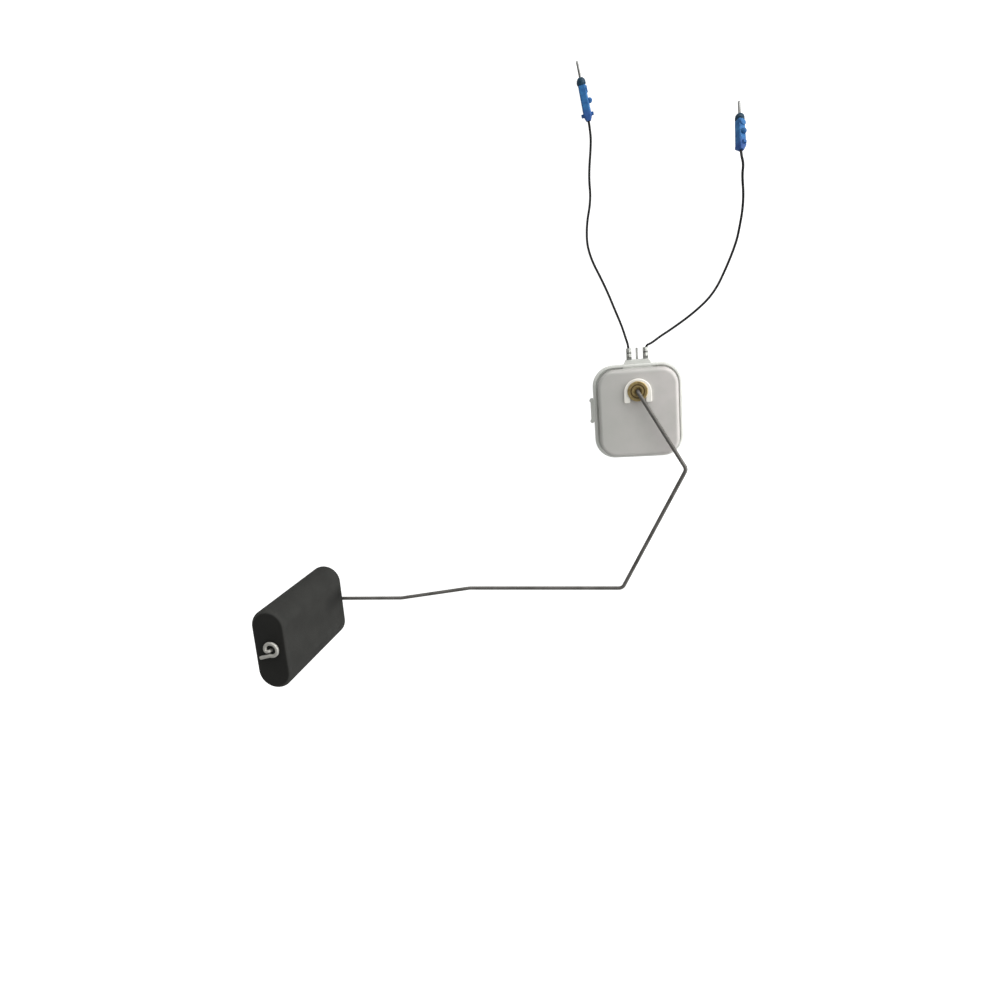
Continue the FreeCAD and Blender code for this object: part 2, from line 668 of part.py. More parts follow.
def resistor_card():
    card = slab(CARD_HALF_WIDTH, CARD_BOTTOM, CARD_TOP, CARD_CORNER_RADIUS, CARD_FLOOR_Z, CARD_THICKNESS)
    holes = [cylinder(SOCKET_RADIUS + CARD_HOLE_FIT, 0, SOCKET_TOP)]
    for side in (-1, 1):
        holes.append(cylinder(STAKE_RADIUS + STAKE_FIT, 0, SOCKET_TOP, side * STAKE_X, STAKE_Y))
    return card.cut(Part.makeCompound(holes))


def printed_track(radius, width, side, terminal_x, terminal_width):
    """An arc of the card's print with its trace up to a terminal."""
    z, top = CARD_TOP_Z, TRACK_TOP_Z
    arc = ring_sector(radius, width, -90, TRACK_HALF_ANGLE, z, TRACK_THICKNESS)
    end = math.radians(90 - TRACK_HALF_ANGLE)
    end_x = side * (radius + width / 2 - TRACE_WIDTH / 2) * math.cos(end)
    end_y = -radius * math.sin(end)
    rise = block(end_x - TRACE_WIDTH / 2, end_x + TRACE_WIDTH / 2, end_y, PAD_LOW + TRACE_WIDTH, z, top)
    half = terminal_width / 2
    reach = (end_x + side * TRACE_WIDTH / 2, terminal_x - side * half)
    cross = block(min(reach), max(reach), PAD_LOW, PAD_LOW + TRACE_WIDTH, z, top)
    on_card = slab(CARD_HALF_WIDTH, CARD_BOTTOM, CARD_TOP, CARD_CORNER_RADIUS, z, TRACK_THICKNESS)
    return fused(arc, rise, cross).common(on_card)


def terminal_strip(x, width, tip):
    return block(x - width / 2, x + width / 2, PAD_LOW, tip, TERMINAL_LOW, TERMINAL_LOW + TERMINAL_THICKNESS)


def crimp_wings(x, start, length):
    """Two wings that stand up from the strip and lean in over the lead, with a seam between their tips."""
    lean = math.radians(WING_LEAN_ANGLE)
    slope = math.tan(lean)
    side = TERMINAL_WIDTH / 2
    wall = side - TERMINAL_THICKNESS
    tip = CRIMP_SEAM / 2
    under = CRIMP_HOLD / math.cos(lean)
    over = CRIMP_RADIUS / math.cos(lean)
    outline = [(side, -CRIMP_RADIUS), (side, over - side * slope), (tip, over - tip * slope),
               (tip, under - tip * slope), (wall, under - wall * slope), (wall, -CRIMP_RADIUS)]
    wings = []
    for turn in (-1, 1):
        corners = [(x + turn * out, start, CRIMP_AXIS_Z + up) for out, up in outline]
        wings.append(polygon(corners).extrude(Vector(0, length, 0)))
    return wings


def crimp_terminal(x):
    wings_start = TERMINAL_TIP - WING_LENGTH
    strands_start = wings_start - CRIMP_SPACE - STRAND_WING_LENGTH
    strip = terminal_strip(x, TERMINAL_WIDTH, TERMINAL_TIP)
    wings = crimp_wings(x, wings_start, WING_LENGTH) + crimp_wings(x, strands_start, STRAND_WING_LENGTH)
    room = Part.makeCylinder(CRIMP_HOLD, TERMINAL_TIP, Vector(x, strands_start, CRIMP_AXIS_Z),
                             Vector(0, 1, 0))
    return fused(strip, *wings).cut(room)


def arm_corners():
    """The arm's bends in plan, from the pivot to the float's axis."""
    corners = [(0.0, 0.0)]
    runs = [(FRONT_RUN, FRONT_ANGLE), (SLOPE_RUN, SLOPE_ANGLE), (LONG_RUN, LONG_ANGLE),
            (KINK_RUN, KINK_ANGLE), (FLOAT_RUN, FLOAT_ANGLE)]
    for length, heading in runs:
        x, y = corners[-1]
        turn = math.radians(heading)
        corners.append((x + length * math.cos(turn), y + length * math.sin(turn)))
    return corners


def arm_path():
    pivot, first_elbow, *on_floor = arm_corners()
    float_axis = on_floor[-1]
    points = [Vector(*pivot, SHAFT_FOOT), Vector(*pivot, ARM_FRONT_Z), Vector(*first_elbow, ARM_FRONT_Z)]
    points += [Vector(*corner, WIRE_RADIUS) for corner in on_floor]
    points.append(Vector(*float_axis, CURL_Z))
    points += [Vector(float_axis[0] + dx, float_axis[1] + dy, CURL_Z) for dx, dy in CURL_CORNERS]
    radii = [SHAFT_BEND_RADIUS, ELBOW_RADIUS, ELBOW_RADIUS, KINK_RADIUS, KINK_RADIUS,
             FLOAT_ELBOW_RADIUS, HOOK_ELBOW_RADIUS] + CURL_RADII
    return bent_path(points, radii)


def float_arm():
    return wire_along(arm_path(), WIRE_RADIUS)


def float_block():
    radius = FLOAT_WIDTH / 2
    half = FLOAT_LENGTH / 2
    body = slab(radius, -half, half, radius - FLOAT_END_FLAT / 2, FLOAT_LOW, FLOAT_HEIGHT)
    body = round_edges(body, FLOAT_EDGE_ROUND, lambda e: level(e, FLOAT_LOW) or level(e, FLOAT_TOP))
    bore = WIRE_RADIUS + FLOAT_BORE_FIT
    hole = cylinder(bore, FLOAT_LOW - OVERCUT, FLOAT_TOP + OVERCUT)
    low_mouth = Part.makeCone(FLOAT_MOUTH_RADIUS, bore, FLOAT_MOUTH_DEPTH, Vector(0, 0, FLOAT_LOW))
    top_mouth = Part.makeCone(bore, FLOAT_MOUTH_RADIUS, FLOAT_MOUTH_DEPTH,
                              Vector(0, 0, FLOAT_TOP - FLOAT_MOUTH_DEPTH))
    body = body.cut(hole).cut(low_mouth).cut(top_mouth)
    body = spun(body, FLOAT_LEAN_ANGLE)
    body.translate(Vector(*arm_corners()[-1], 0))
    return body


def square_section(size, x):
    """A square wire with rounded corners, across the connector's axis."""
    face = rounded_rect(size / 2, -size / 2, size / 2, size * CONNECTOR_EDGE / CONNECTOR_REAR_SIZE, 0)
    wire = face.OuterWire
    wire.rotate(Vector(0, 0, 0), Vector(0, 1, 0), 90)
    wire.translate(Vector(x, 0, 0))
    return wire


def connector_body():
    """Along +X from the lead's end, with the latch on +Z."""
    tail = Part.makeLoft([square_section(CONNECTOR_TAIL_SIZE, 0),
                          square_section(CONNECTOR_REAR_SIZE, CONNECTOR_TAPER_LENGTH)], True, True)
    barrel = Part.makeLoft([square_section(CONNECTOR_REAR_SIZE, CONNECTOR_TAPER_LENGTH),
                            square_section(CONNECTOR_NOSE_SIZE, CONNECTOR_BODY_LENGTH)], True, True)
    ear_half = CONNECTOR_REAR_SIZE / 2 + EAR_REACH
    ears = block(EAR_PLACE, EAR_PLACE + EAR_LENGTH, -EAR_WIDTH / 2, EAR_WIDTH / 2, -ear_half, ear_half)
    body = fused(tail, barrel, ears, latch(), nose_pad())
    socket = Part.makeCylinder(LEAD_RADIUS, LEAD_SOCKET_DEPTH, Vector(0, 0, 0), Vector(1, 0, 0))
    shank = Part.makeCylinder(PIN_SHANK_RADIUS, PIN_SHANK_LENGTH,
                              Vector(CONNECTOR_BODY_LENGTH - PIN_SHANK_LENGTH, 0, 0), Vector(1, 0, 0))
    return body.cut(socket).cut(shank)


def latch():
    """A round knob that snaps into the socket's window."""
    return Part.makeSphere(LATCH_RADIUS, Vector(LATCH_PLACE, 0, CONNECTOR_NOSE_SIZE / 2 + LATCH_RISE))


def nose_pad():
    """A low round pad behind the collar, on the latch's side."""
    top = CONNECTOR_NOSE_SIZE / 2 + NOSE_PAD_RISE
    return round_edges(cylinder(NOSE_PAD_RADIUS, 0, top, NOSE_PAD_PLACE), NOSE_PAD_EDGE,
                       lambda e: level(e, top))


def along_connector(profile):
    """A solid of revolution about the connector's axis from (x, radius) points."""
    face = polygon([(x, 0, r) for x, r in profile])
    return face.revolve(Vector(0, 0, 0), Vector(1, 0, 0), 360)


def connector_collar():
    """The seal ring between the body and the pin, barrel-shaped."""
    start = CONNECTOR_BODY_LENGTH
    end = start + COLLAR_LENGTH
    return along_connector([
        (start, PIN_SHANK_RADIUS), (start, COLLAR_NECK), (start + COLLAR_RAMP, COLLAR_RADIUS),
        (end - 2 * COLLAR_RAMP, COLLAR_RADIUS), (end - COLLAR_RAMP, COLLAR_LIP_RADIUS),
        (end, COLLAR_MOUTH_RADIUS), (end, PIN_SHANK_RADIUS),
    ])


def contact_pin():
    """The shank ends at the collar's front, where the plain pin starts."""
    rear = CONNECTOR_BODY_LENGTH - PIN_SHANK_LENGTH
    shoulder = CONNECTOR_BODY_LENGTH + COLLAR_LENGTH
    tip = shoulder + PIN_LENGTH
    return along_connector([
        (rear, 0), (rear, PIN_SHANK_RADIUS), (shoulder, PIN_SHANK_RADIUS), (shoulder, PIN_RADIUS),
        (tip - PIN_TIP_LENGTH, PIN_RADIUS), (tip, PIN_TIP_RADIUS), (tip, 0),
    ])


def laid(shape, tail, heading, roll, height, pitch):
    """A connector piece put on the floor, its nose dipped by the pitch."""
    piece = shape.copy()
    piece.rotate(Vector(0, 0, 0), Vector(1, 0, 0), roll)
    piece.rotate(Vector(0, 0, 0), Vector(0, 1, 0), pitch)
    piece.rotate(Vector(0, 0, 0), Vector(0, 0, 1), heading)
    piece.translate(Vector(tail[0], tail[1], height))
    return piece


def left_connector(shape):
    """Rolled on its side, latch to the right."""
    return laid(shape, LEFT_CONNECTOR_TAIL, LEFT_CONNECTOR_HEADING, LEFT_CONNECTOR_ROLL,
                max(CONNECTOR_REAR_SIZE / 2, COLLAR_RADIUS), 0)


def right_connector(shape):
    """Latch up and to the right, with its nose down on the tip of its pin."""
    tilt = math.radians(RIGHT_CONNECTOR_TILT)
    whole = CONNECTOR_BODY_LENGTH + COLLAR_LENGTH + PIN_LENGTH
    height = PIN_TIP_RADIUS * math.cos(tilt) + whole * math.sin(tilt)
    return laid(shape, RIGHT_CONNECTOR_TAIL, RIGHT_CONNECTOR_HEADING, RIGHT_CONNECTOR_ROLL, height,
                RIGHT_CONNECTOR_TILT)


def lead(points, name):
    corners = [Vector(*p) for p in points]
    radii = cord_radii(corners)
    path = bent_path(corners, radii)
    tube = wire_along(path, LEAD_RADIUS)
    expected = math.pi * LEAD_RADIUS ** 2 * path.Length
    print(name, "length", round(path.Length, 1), "radii", [round(r, 1) for r in radii])
    print(name, "volume", round(tube.Volume, 3), "section by length", round(expected, 3))
    return tube


def build():
    return {
        "housing_base": housing_base(),
        "housing_cover": housing_cover(),
        "pivot_bush": pivot_bush(),
        "bush_clip": bush_clip(),
        "thrust_washer": thrust_washer(),
        "rotor": rotor(),
        "wiper_spring": wiper_spring(),
        "contact_stud_inner": contact_stud(COLLECTOR_RADIUS, -FINGER_OFFSET),
        "contact_stud_outer": contact_stud(RESISTOR_RADIUS, FINGER_OFFSET),
        "resistor_card": resistor_card(),
        "resistor_track": printed_track(RESISTOR_RADIUS, RESISTOR_WIDTH, -1, TERMINAL_LEFT_X, TERMINAL_WIDTH),
        "collector_track": printed_track(COLLECTOR_RADIUS, COLLECTOR_WIDTH, 1, TERMINAL_RIGHT_X,
                                         TERMINAL_WIDTH),
        "terminal_left": crimp_terminal(TERMINAL_LEFT_X),
        "terminal_middle": terminal_strip(TERMINAL_MIDDLE_X, MIDDLE_WIDTH, TERMINAL_TIP),
        "terminal_right": crimp_terminal(TERMINAL_RIGHT_X),
        "float_arm": float_arm(),
        "float": float_block(),
        "lead_left": lead(LEAD_LEFT, "lead_left"),
        "lead_right": lead(LEAD_RIGHT, "lead_right"),
        "connector_body_left": left_connector(connector_body()),
        "connector_body_right": right_connector(connector_body()),
        "connector_collar_left": left_connector(connector_collar()),
        "connector_collar_right": right_connector(connector_collar()),
        "contact_pin_left": left_connector(contact_pin()),
        "contact_pin_right": right_connector(contact_pin()),
    }


os.makedirs("parts", exist_ok=True)
for node, shape in build().items():
    box = shape.BoundBox
    print(node, "solids", len(shape.Solids), "valid", shape.isValid(), "volume", round(shape.Volume, 2),
          "z", round(box.ZMin, 3), round(box.ZMax, 3))
    shape.exportStep("parts/" + node + ".step")
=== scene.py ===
import math

import bpy
from bpy.props import FloatProperty, FloatVectorProperty, IntProperty, PointerProperty
from mathutils import Matrix, Vector


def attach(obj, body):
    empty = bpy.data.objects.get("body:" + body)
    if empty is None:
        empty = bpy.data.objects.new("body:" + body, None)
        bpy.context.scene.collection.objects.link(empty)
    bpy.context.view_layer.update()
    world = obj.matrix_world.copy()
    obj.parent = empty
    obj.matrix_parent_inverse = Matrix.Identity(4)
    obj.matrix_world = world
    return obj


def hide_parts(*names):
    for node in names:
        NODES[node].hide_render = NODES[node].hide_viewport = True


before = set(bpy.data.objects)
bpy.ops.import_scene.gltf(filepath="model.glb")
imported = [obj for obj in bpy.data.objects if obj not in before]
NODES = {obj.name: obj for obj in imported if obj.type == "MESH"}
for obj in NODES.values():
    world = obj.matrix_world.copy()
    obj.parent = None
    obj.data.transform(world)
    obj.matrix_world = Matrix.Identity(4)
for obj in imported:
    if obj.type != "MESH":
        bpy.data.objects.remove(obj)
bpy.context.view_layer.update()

bl_info = {
    "name": "Fuel level sender",
    "version": (1, 0, 0),
    "blender": (4, 5, 0),
    "location": "3D View > Sidebar > Sender",
    "description": "Dresses a fuel level sender: housing, wire arm, foam float and two leads",
    "category": "Object",
}

WHITE = (1.0, 1.0, 1.0, 1.0)

# The picture that the view follows, in pixels
PICTURE_SIDE = 1000
PICTURE_CENTRE = PICTURE_SIDE / 2
FOCAL_PIXELS = 700
NADIR_PIXEL = (647, 320)
VIEW_ROLL = math.radians(5.0)
SENSOR_WIDTH = 36.0

# How far the floor lies under the part, in metres
FLOOR_GAP = 0.00002

# The turning marks on the bush and the groove that is turned in its face, in metres
RING_SIZE = 0.00018
RING_DEPTH = 0.00003
GROOVE_RADIUS = 0.003
GROOVE_HALF_WIDTH = 0.0003

# Painted shade: how strongly the cover darkens towards its left side, and from where to where along
# X, in metres
SIDE_SHADE_SHARE = 0.75
SIDE_SHADE_REACH = (-0.02, 0.016)

# How strongly the connectors' tails are darkened, partly their own tone and partly painted shade
# where the lead goes in, and how near the lead's end, in metres
TAIL_TONE_AND_SHADE_SHARE = 0.85
TAIL_TONE_AND_SHADE_REACH = (0.001, 0.0045)

# Painted shade on the float's side over the arm, where the wire goes under the float, and how far
# it reaches, in metres
WIRE_SHADE_PLACE = (-0.1653, -0.101, 0.006)
WIRE_SHADE_REACH = (0.01, 0.006, 0.024)

# Size of the soft clouds in the foam's tone, in metres
FOAM_CLOUD = 1 / 90

# How high the curl at the arm's end lies, in metres
CURL_HEIGHT = 0.067

# Routes of the two leads from their crimps to their connectors, and their lengths, in metres
LEAD_LEFT_ROUTE = [
    (-0.00355, 0.0154, 0.003205),
    (-0.0035, 0.0198, 0.0032),
    (-0.00466, 0.02385, 0.00255),
    (-0.00633, 0.02967, 0.0011),
    (-0.00884, 0.03633, 0.00062),
    (-0.01309, 0.04805, 0.00056),
    (-0.02022, 0.06352, 0.00058),
    (-0.02027, 0.07511, 0.00056),
    (-0.0175, 0.0862, 0.00057),
    (-0.018, 0.09595, 0.00056),
    (-0.0162, 0.10916, 0.00075),
    (-0.0162, 0.114, 0.0016),
    (-0.0168, 0.11943, 0.00195),
]
LEAD_RIGHT_ROUTE = [
    (0.004, 0.0154, 0.003205),
    (0.004, 0.0199, 0.0032),
    (0.00693, 0.02073, 0.00275),
    (0.01078, 0.02336, 0.0015),
    (0.01588, 0.02611, 0.00066),
    (0.02608, 0.03249, 0.00056),
    (0.03527, 0.04035, 0.00058),
    (0.04142, 0.05256, 0.00057),
    (0.04508, 0.06167, 0.00056),
    (0.04616, 0.0669, 0.0012),
    (0.04721, 0.0732, 0.0032),
    (0.0471, 0.0796, 0.0084),
    (0.04595, 0.0862, 0.0132),
    (0.0464, 0.0903, 0.0144),
    (0.04563, 0.09417, 0.01296),
    (0.04574, 0.09724, 0.01129),
]
LEAD_LEFT_LENGTH = 0.1076
LEAD_RIGHT_LENGTH = 0.1055

# What each lead carries at its end, by the first part of the nodes' names
FITTINGS = ("connector_body_", "connector_collar_", "contact_pin_")


def colour(name, description, default):
    return FloatVectorProperty(name=name, description=description, subtype="COLOR", size=3,
                               min=0.0, max=1.0, default=default)


def length(name, description, default):
    return FloatProperty(name=name, description=description, unit="LENGTH",
                         min=0.0, default=default)


def strength(name, description, default):
    return FloatProperty(name=name, description=description, min=0.0, default=default)


class StageSettings(bpy.types.PropertyGroup):
    camera_place: FloatVectorProperty(
        name="Camera place", description="Where the camera stands", size=3,
        subtype="TRANSLATION", unit="LENGTH", default=(0.00529, 0.03128, 0.342))
    floor_half_side: length("Floor half side", "Half the side of the square floor", 12.0)
    floor_colour: colour("Floor", "Colour of the floor", (0.35, 0.35, 0.35))
    floor_glow: strength("Floor glow", "White that the camera sees in the floor and the sky", 1.0)
    floor_light: strength("Floor light", "Light that the floor itself sends up to the part", 0.05)
    horizon_colour: colour("Horizon", "Colour of the light from the sides", (1.0, 0.99, 0.98))
    zenith_colour: colour("Zenith", "Colour of the light from above", (0.97, 1.0, 0.97))
    horizon_strength: strength("Horizon strength", "Strength of the light from the sides", 1.62)
    zenith_strength: strength("Zenith strength", "Strength of the light from above", 0.14)
    far_side: strength("Far side", "Gain of the side light away from the key lamp", 0.6)
    near_side: strength("Near side", "Gain of the side light on the key lamp's side", 2.9)
    key_power: FloatProperty(name="Key power", description="Power of the large lamp at the side",
                             unit="POWER", min=0.0, default=1.2)
    key_place: FloatVectorProperty(
        name="Key place", description="Where the large lamp stands", size=3,
        subtype="TRANSLATION", unit="LENGTH", default=(0.62, 0.34, 0.2))
    key_width: length("Key width", "Width of the large lamp", 1.3)
    key_height: length("Key height", "Height of the large lamp", 0.34)


class PlasticSettings(bpy.types.PropertyGroup):
    base: colour("Base", "Colour of the moulded base", (0.78, 0.785, 0.755))
    base_shade: colour("Base shade", "Darker tone in the base", (0.72, 0.73, 0.70))
    cover: colour("Cover", "Colour of the moulded cover", (0.63, 0.595, 0.585))
    cover_shade: colour("Cover shade", "Darker tone in the cover", (0.55, 0.535, 0.515))
    # Painted shade laid over the cover's left side, towards the guide lug
    cover_painted_shade: colour("Cover side", "Tone of the cover towards the guide lug", (0.43, 0.43, 0.41))
    clip: colour("Clip", "Colour of the snap clip", (0.97, 0.94, 0.89))
    grain: length("Grain", "Size of the mould's spark-eroded texture", 0.00025)
    mottle: length("Mottle", "Size of the soft clouds in the colour", 0.009)


class MetalSettings(bpy.types.PropertyGroup):
    steel: colour("Steel", "Colour of the arm wire", (0.175, 0.166, 0.158))
    steel_dark: colour("Dark steel", "Colour of its stained patches", (0.11, 0.106, 0.098))
    # Painted highlight laid over the curl at the arm's end
    steel_curl_highlight: colour("Bright steel", "Colour of the curl at the arm's end", (0.42, 0.41, 0.385))
    plating: colour("Plating", "Colour of the contact pins", (0.26, 0.26, 0.255))
    brass: colour("Brass", "Colour of the bush", (0.56, 0.42, 0.19))
    brass_dark: colour("Dark brass", "Colour in the bush's groove", (0.15, 0.095, 0.035))
    tin: colour("Tin", "Colour of the tinned terminals", (0.50, 0.505, 0.48))
    tin_bright: colour("Bright tin", "Colour of the bare middle terminal", (0.8, 0.8, 0.77))


class WorksSettings(bpy.types.PropertyGroup):
    card: colour("Card", "Colour of the resistor card", (0.72, 0.70, 0.65))
    card_shade: colour("Card shade", "Darker tone in the card", (0.66, 0.64, 0.60))
    film: colour("Film", "Colour of the resistor track", (0.02, 0.02, 0.021))
    film_shade: colour("Film shade", "Paler tone in the resistor track", (0.035, 0.034, 0.032))
    silver: colour("Silver", "Colour of the collector track and the studs", (0.62, 0.60, 0.56))
    silver_dark: colour("Dark silver", "Colour of its stained patches", (0.45, 0.42, 0.36))


class FoamSettings(bpy.types.PropertyGroup):
    side: colour("Side", "Colour of the moulded sides", (0.028, 0.028, 0.0262))
    # The end faces' own darker cut-foam tone, with painted shade from above laid in
    face: colour("Face", "Colour of the two end faces", (0.0085, 0.0084, 0.0075))
    cell: length("Cell", "Size of the foam's cells", 0.0004)
    cell_depth: length("Cell depth", "Depth of the open cells in the surface", 0.00005)


class LeadSettings(bpy.types.PropertyGroup):
    diameter: length("Diameter", "Diameter over the insulation", 0.00105)
    sides: IntProperty(name="Sides", description="Segments round half a lead", min=2, default=6)
    insulation: colour("Insulation", "Colour of the insulation", (0.012, 0.012, 0.013))


class ConnectorSettings(bpy.types.PropertyGroup):
    body: colour("Body", "Colour of the connector bodies", (0.042, 0.19, 0.44))
    body_shade: colour("Body shade", "Deeper tone in the bodies", (0.018, 0.095, 0.28))
    # Partly the tail's own tone, partly painted shade where the lead goes in
    tail: colour("Tail", "Tone at the end where the lead goes in", (0.034, 0.08, 0.3))
    collar: colour("Collar", "Colour of the seal collars", (0.006, 0.032, 0.06))


class SENDER_Settings(bpy.types.PropertyGroup):
    stage: PointerProperty(type=StageSettings)
    plastic: PointerProperty(type=PlasticSettings)
    metal: PointerProperty(type=MetalSettings)
    works: PointerProperty(type=WorksSettings)
    foam: PointerProperty(type=FoamSettings)
    lead: PointerProperty(type=LeadSettings)
    connector: PointerProperty(type=ConnectorSettings)


def rgba(value):
    return (*value, 1.0)


def scaled(tone, share):
    return [share * part for part in tone]


def start_material(name):
    """A new material with an output and a Principled shader."""
    material = bpy.data.materials.new(name)
    material.use_nodes = True
    tree = material.node_tree
    tree.nodes.clear()
    output = tree.nodes.new("ShaderNodeOutputMaterial")
    shader = tree.nodes.new("ShaderNodeBsdfPrincipled")
    tree.links.new(shader.outputs["BSDF"], output.inputs["Surface"])
    return material, tree, shader


def start_group(name, inputs, outputs):
    """A new shader group. Inputs and outputs are pairs of a socket's name and kind."""
    kinds = {"colour": "NodeSocketColor", "value": "NodeSocketFloat"}
    group = bpy.data.node_groups.new(name, "ShaderNodeTree")
    for socket, kind in inputs:
        group.interface.new_socket(socket, in_out="INPUT", socket_type=kinds[kind])
    for socket, kind in outputs:
        group.interface.new_socket(socket, in_out="OUTPUT", socket_type=kinds[kind])
    entry = group.nodes.new("NodeGroupInput")
    leave = group.nodes.new("NodeGroupOutput")
    return group, entry, leave


def add_node(tree, kind, settings=None, **sockets):
    """A node with its settings, and its inputs set or linked by name."""
    node = tree.nodes.new(kind)
    for key, value in (settings or {}).items():
        setattr(node, key, value)
    for key, value in sockets.items():
        place = int(key[1:]) if key[1:].isdigit() else key.replace("_", " ")
        socket = node.inputs[place]
        if isinstance(value, bpy.types.NodeSocket):
            tree.links.new(value, socket)
        else:
            socket.default_value = value
    return node


def cloud(tree, place, scale, detail=3.0):
    """A soft noise from 0 to 1."""
    texture = add_node(tree, "ShaderNodeTexNoise", Vector=place, Scale=scale, Detail=detail)
    return texture.outputs["Fac"]


def blend_colours(tree, amount, first, second):
    node = add_node(tree, "ShaderNodeMix", {"data_type": "RGBA"}, _0=amount, _6=first, _7=second)
    return node.outputs[2]


def spread(tree, value, low, high, start=0.3, end=0.7):
    """The value's middle range carried over to low and high."""
    node = add_node(tree, "ShaderNodeMapRange", Value=value)
    for key, amount in (("From Min", start), ("From Max", end), ("To Min", low), ("To Max", high)):
        if isinstance(amount, bpy.types.NodeSocket):
            tree.links.new(amount, node.inputs[key])
        else:
            node.inputs[key].default_value = amount
    return node.outputs["Result"]


def whole_spread(tree, value, low, high):
    """A value from 0 to 1 carried over to low and high."""
    return spread(tree, value, low, high, start=0.0, end=1.0)


def object_place(tree):
    return tree.nodes.new("ShaderNodeTexCoord").outputs["Object"]


def camera_ray(tree):
    """1 where the camera looks itself, and 0 for light that bounces."""
    return tree.nodes.new("ShaderNodeLightPath").outputs["Is Camera Ray"]


def sum_up(tree, operation, first, second=0.0):
    """The result of a sum on one or two values."""
    node = add_node(tree, "ShaderNodeMath", {"operation": operation}, _0=first, _1=second)
    return node.outputs[0]


def vector_sum(tree, operation, first, second, result="Vector"):
    """The result of a sum on two vectors, or its Value."""
    node = add_node(tree, "ShaderNodeVectorMath", {"operation": operation}, _0=first, _1=second)
    return node.outputs[result]


def part_of(tree, vector, axis):
    """One of a vector's parts: X, Y or Z."""
    return add_node(tree, "ShaderNodeSeparateXYZ", _0=vector).outputs[axis]


def inverse(tree, value):
    """One over a value, such as a size turned to a texture's scale."""
    return sum_up(tree, "DIVIDE", 1.0, value)


def pivot_distance(tree):
    """How far a point lies from the pivot axis."""
    flat = vector_sum(tree, "MULTIPLY", object_place(tree), (1.0, 1.0, 0.0))
    return vector_sum(tree, "LENGTH", flat, (0.0, 0.0, 0.0), "Value")


def moulded_group():
    """Moulded plastic: soft clouds of tone, and the fine texture that the mould leaves."""
    group, entry, leave = start_group(
        "Moulded surface",
        [("Colour", "colour"), ("Shade", "colour"), ("Mottle Size", "value"),
         ("Grain Size", "value"), ("Smoothest", "value"), ("Roughest", "value")],
        [("Colour", "colour"), ("Roughness", "value"), ("Height", "value")])
    place = object_place(group)
    clouds = cloud(group, place, inverse(group, entry.outputs["Mottle Size"]))
    grain = cloud(group, place, inverse(group, entry.outputs["Grain Size"]), 2.0)
    shaded = spread(group, clouds, 0.0, 1.0)
    mixed = blend_colours(group, shaded, entry.outputs["Colour"], entry.outputs["Shade"])
    rough = spread(group, clouds, entry.outputs["Smoothest"], entry.outputs["Roughest"])
    group.links.new(mixed, leave.inputs["Colour"])
    group.links.new(rough, leave.inputs["Roughness"])
    group.links.new(grain, leave.inputs["Height"])
    return group


def metal_group():
    """Worked metal: stains, and fine marks that a noise lays over the surface."""
    group, entry, leave = start_group(
        "Worked metal",
        [("Colour", "colour"), ("Stain", "colour"), ("Stain Size", "value"),
         ("Mark Size", "value"), ("Smoothest", "value"), ("Roughest", "value")],
        [("Colour", "colour"), ("Roughness", "value"), ("Height", "value")])
    place = object_place(group)
    stains = cloud(group, place, inverse(group, entry.outputs["Stain Size"]), 5.0)
    marks = cloud(group, place, inverse(group, entry.outputs["Mark Size"]), 4.0)
    stained = spread(group, stains, 0.0, 1.0, start=0.42, end=0.72)
    mixed = blend_colours(group, stained, entry.outputs["Colour"], entry.outputs["Stain"])
    rough = spread(group, marks, entry.outputs["Smoothest"], entry.outputs["Roughest"])
    group.links.new(mixed, leave.inputs["Colour"])
    group.links.new(rough, leave.inputs["Roughness"])
    group.links.new(marks, leave.inputs["Height"])
    return group


def turned_group():
    """Turning marks: rings about the pivot axis, as a lathe leaves them."""
    group, entry, leave = start_group(
        "Turning marks", [("Ring Size", "value")], [("Mask", "value"), ("Height", "value")])
    turns = sum_up(group, "DIVIDE", pivot_distance(group), entry.outputs["Ring Size"])
    rings = add_node(group, "ShaderNodeTexNoise", {"noise_dimensions": "1D"},
                     W=turns, Scale=1.0, Detail=2.0)
    group.links.new(spread(group, rings.outputs["Fac"], 0.0, 1.0), leave.inputs["Mask"])
    group.links.new(rings.outputs["Fac"], leave.inputs["Height"])
    return group


def foam_group():
    """Closed-cell foam: end faces darker than the sides, partly their own tone and partly painted
    shade; paler moulded sides; painted shade where the arm wire goes under; and open cells.
    """
    group, entry, leave = start_group(
        "Foam surface", [("Side", "colour"), ("Face", "colour"), ("Cell Size", "value")],
        [("Colour", "colour"), ("Height", "value")])
    coordinates = group.nodes.new("ShaderNodeTexCoord")
    # End faces darker than the sides: partly the cut faces' own tone, partly painted shade on the
    # faces that point up and down
    upright = sum_up(group, "ABSOLUTE", part_of(group, coordinates.outputs["Normal"], "Z"))
    face = spread(group, upright, 0.0, 1.0, start=0.9, end=0.99)
    place = coordinates.outputs["Object"]
    clouds = cloud(group, place, 1 / FOAM_CLOUD, 4.0)
    scale = inverse(group, entry.outputs["Cell Size"])
    cells = add_node(group, "ShaderNodeTexVoronoi", Vector=place, Scale=scale).outputs["Distance"]
    plain = blend_colours(group, face, entry.outputs["Side"], entry.outputs["Face"])
    # Painted shade on the side where the arm wire goes under the float
    far = vector_sum(group, "DIVIDE", vector_sum(group, "SUBTRACT", place, WIRE_SHADE_PLACE), WIRE_SHADE_REACH)
    reach = vector_sum(group, "LENGTH", far, (0.0, 0.0, 0.0), "Value")
    wire_shade = spread(group, reach, 0.55, 1.0, start=0.2, end=1.0)
    shade = sum_up(group, "MULTIPLY", spread(group, clouds, 0.82, 1.12), wire_shade)
    mixed = add_node(group, "ShaderNodeVectorMath", {"operation": "SCALE"}, _0=plain, Scale=shade)
    group.links.new(mixed.outputs[0], leave.inputs["Colour"])
    group.links.new(cells, leave.inputs["Height"])
    return group


